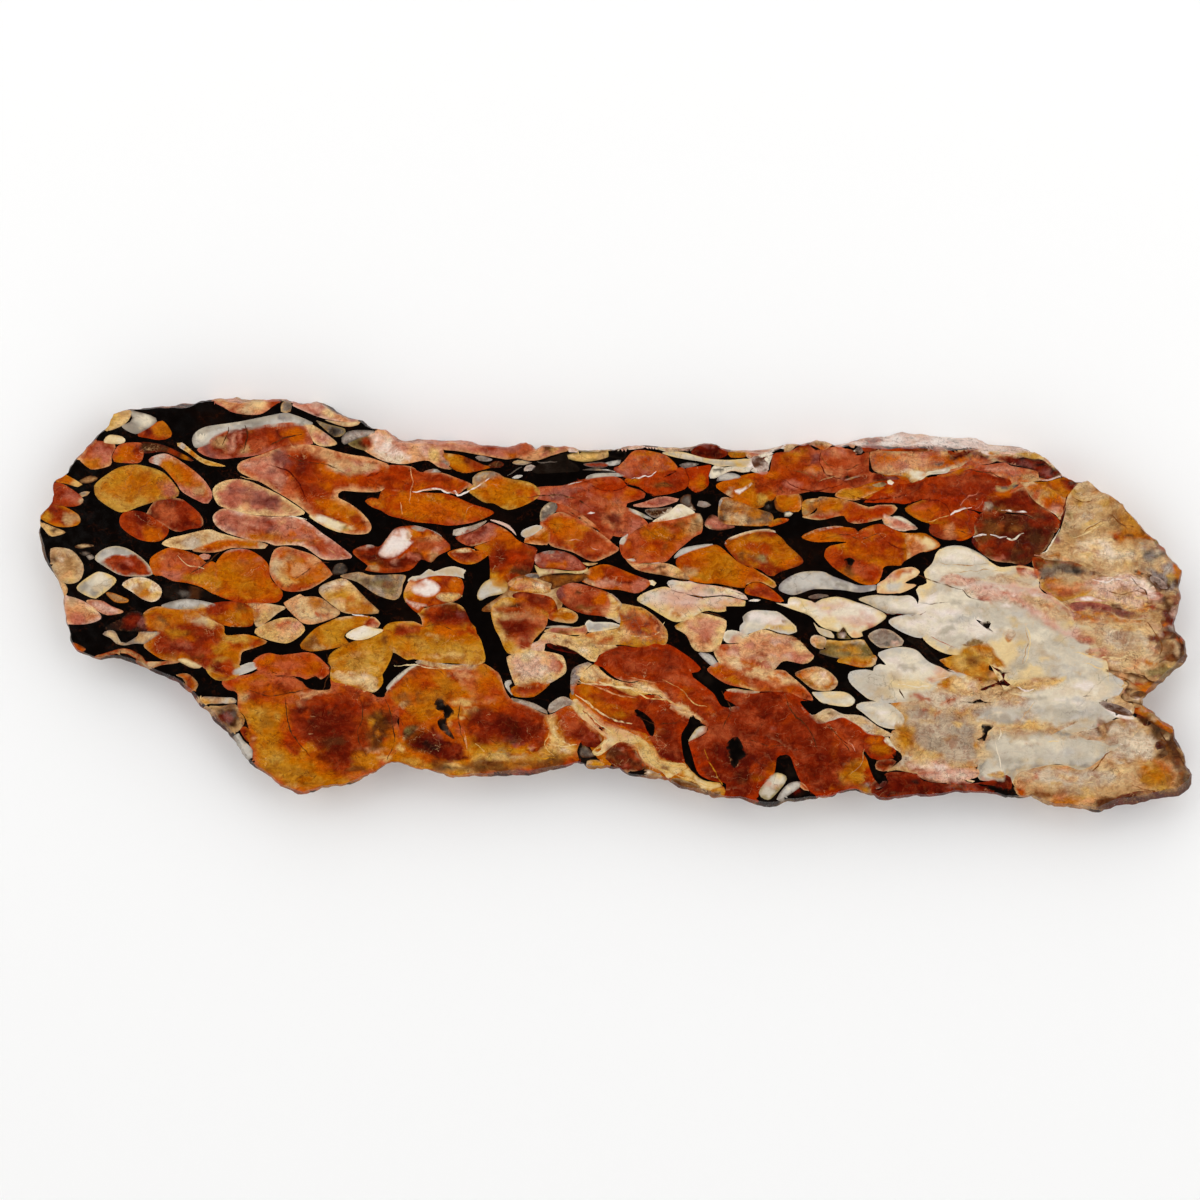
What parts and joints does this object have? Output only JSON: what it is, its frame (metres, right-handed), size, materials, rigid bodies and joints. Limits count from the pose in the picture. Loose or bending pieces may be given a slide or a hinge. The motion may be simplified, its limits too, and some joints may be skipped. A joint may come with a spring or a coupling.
{
  "type": "rough peanut wood slab",
  "caption": "Flat sawn slab of rough peanut wood, a patterned fossil wood, with parallel cut faces and a broken, weathered rim; for display, carving blanks or cabochon cutting.",
  "frame": {"origin": "on the back cut, under the middle of the slab's length and width", "axes": "+X along the slab's length towards the pale end, +Y across its width, +Z out of the good sawn face; the slab lies flat on its back cut"},
  "size_m": [0.2328, 0.084, 0.008],
  "materials": {
    "stone": "wet-looking polished saw cut with black, brick red, rust, amber, ochre and bone-white patches; the rim is rough and matt"
  },
  "bodies": {
    "root": {"peanut_wood_slab": "stone"}
  },
  "joints": []
}
